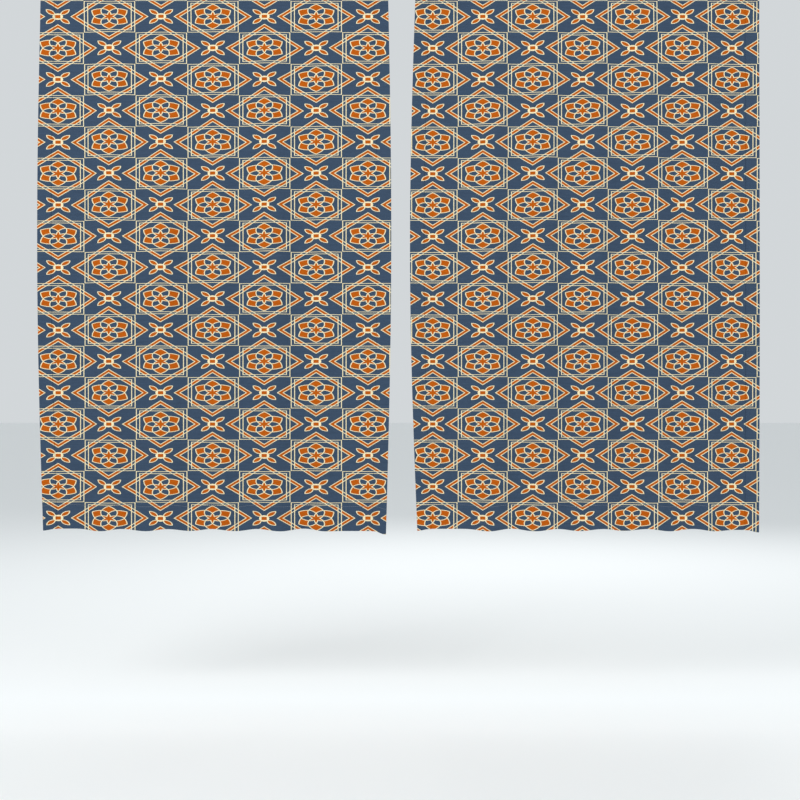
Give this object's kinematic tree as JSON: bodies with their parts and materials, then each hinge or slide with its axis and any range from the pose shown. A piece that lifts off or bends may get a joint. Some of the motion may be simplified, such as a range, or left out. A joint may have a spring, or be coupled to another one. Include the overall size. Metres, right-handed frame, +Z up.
{
  "type": "window curtains on a rod",
  "caption": "Short rod-pocket window curtains, drawn apart along an extending rod that rests in open wall brackets; geometric printed cotton",
  "frame": {"origin": "on the wall, midway between the two brackets, level with the rod's axis", "axes": "+X to the right along the rod as seen from the room, +Y out of the room into the wall, +Z up; the wall is the plane Y = 0 and the curtains hang in front of it at -Y"},
  "size_m": [1.4716, 0.1234, 1.0195],
  "materials": {
    "rod_metal": "satin nickel plate, fine brushing along the tube",
    "bracket_metal": "satin nickel plate over die-cast zinc",
    "finial_metal": "satin nickel plate, turned",
    "thumbscrew_metal": "satin nickel plate, knurled edge",
    "screw_steel": "bright zinc-plated steel",
    "collar_plastic": "white moulded plastic, light texture",
    "insert_plastic": "grey moulded plastic",
    "nylon_tip": "natural nylon",
    "anchor_plastic": "grey moulded wall anchor",
    "printed_cotton": "plain-weave cotton, printed with a geometric pattern in slate blue, rust orange and cream",
    "hem_cotton": "the same printed cotton, turned twice and stitched"
  },
  "bodies": {
    "wall_brackets": {"left_wall_plate": "bracket_metal", "left_post": "bracket_metal", "left_cradle": "bracket_metal", "left_upper_wall_screw": "screw_steel", "left_lower_wall_screw": "screw_steel", "left_upper_wall_anchor": "anchor_plastic", "left_lower_wall_anchor": "anchor_plastic", "right_wall_plate": "bracket_metal", "right_post": "bracket_metal", "right_cradle": "bracket_metal", "right_upper_wall_screw": "screw_steel", "right_lower_wall_screw": "screw_steel", "right_upper_wall_anchor": "anchor_plastic", "right_lower_wall_anchor": "anchor_plastic"},
    "rod": {"outer_rod_tube": "rod_metal", "tube_mouth_collar": "collar_plastic"},
    "extending_tube": {"inner_rod_tube": "rod_metal", "inner_tube_guide": "collar_plastic"},
    "left_screw_tip": {"left_thumbscrew_tip": "nylon_tip"},
    "left_thumbscrew": {"left_thumbscrew": "thumbscrew_metal"},
    "left_finial": {"left_finial_ball": "finial_metal", "left_finial_neck": "finial_metal", "left_finial_plug": "insert_plastic", "left_finial_stud": "screw_steel"},
    "left_curtain": {"left_heading": "printed_cotton", "left_panel": "printed_cotton", "left_bottom_hem": "hem_cotton", "left_outer_heading": "printed_cotton", "left_outer_hem": "hem_cotton"},
    "left_leading_edge": {"left_leading_heading": "printed_cotton", "left_leading_hem": "hem_cotton"},
    "right_screw_tip": {"right_thumbscrew_tip": "nylon_tip"},
    "right_thumbscrew": {"right_thumbscrew": "thumbscrew_metal"},
    "right_finial": {"right_finial_ball": "finial_metal", "right_finial_neck": "finial_metal", "right_finial_plug": "insert_plastic", "right_finial_stud": "screw_steel"},
    "right_curtain": {"right_heading": "printed_cotton", "right_panel": "printed_cotton", "right_bottom_hem": "hem_cotton", "right_outer_heading": "printed_cotton", "right_outer_hem": "hem_cotton"},
    "right_leading_edge": {"right_leading_heading": "printed_cotton", "right_leading_hem": "hem_cotton"}
  },
  "joints": [
    {"name": "rod_lift", "type": "slide", "parent": "wall_brackets", "child": "rod", "axis": [0, 0, 1], "range_m": [0, 0.035]},
    {"name": "rod_extend", "type": "slide", "parent": "rod", "child": "extending_tube", "axis": [1, 0, 0], "range_m": [-0.012, 0.29]},
    {"name": "left_screw_travel", "type": "slide", "parent": "wall_brackets", "child": "left_screw_tip", "axis": [0, -1, 0], "range_m": [0, 0.0021]},
    {"name": "left_screw_turn", "type": "hinge", "parent": "left_screw_tip", "child": "left_thumbscrew", "pos_m": [-0.668, -0.075, 0], "axis": [0, -1, 0], "range_deg": [0, 1080]},
    {"name": "left_finial_pull", "type": "slide", "parent": "rod", "child": "left_finial", "axis": [-1, 0, 0], "range_m": [0, 0.03]},
    {"name": "left_swing", "type": "hinge", "parent": "rod", "child": "left_curtain", "pos_m": [-0.32, -0.075, 0], "axis": [-1, 0, 0], "range_deg": [-2, 25]},
    {"name": "left_draw", "type": "slide", "parent": "left_curtain", "child": "left_leading_edge", "axis": [-1, 0, 0], "range_m": [0, 0.375], "deforming": ["left_heading", "left_panel", "left_bottom_hem"]},
    {"name": "right_screw_travel", "type": "slide", "parent": "wall_brackets", "child": "right_screw_tip", "axis": [0, -1, 0], "range_m": [0, 0.0021]},
    {"name": "right_screw_turn", "type": "hinge", "parent": "right_screw_tip", "child": "right_thumbscrew", "pos_m": [0.668, -0.075, 0], "axis": [0, -1, 0], "range_deg": [0, 1080]},
    {"name": "right_finial_pull", "type": "slide", "parent": "extending_tube", "child": "right_finial", "axis": [1, 0, 0], "range_m": [0, 0.03]},
    {"name": "right_swing", "type": "hinge", "parent": "rod", "child": "right_curtain", "pos_m": [0.32, -0.075, 0], "axis": [-1, 0, 0], "range_deg": [-2, 25]},
    {"name": "right_draw", "type": "slide", "parent": "right_curtain", "child": "right_leading_edge", "axis": [1, 0, 0], "range_m": [0, 0.375], "deforming": ["right_heading", "right_panel", "right_bottom_hem"]}
  ],
  "couplings": [
    {"joint": "left_screw_travel", "follows": "left_screw_turn", "m_per_rad": 0.00011141},
    {"joint": "right_screw_travel", "follows": "right_screw_turn", "m_per_rad": 0.00011141}
  ]
}
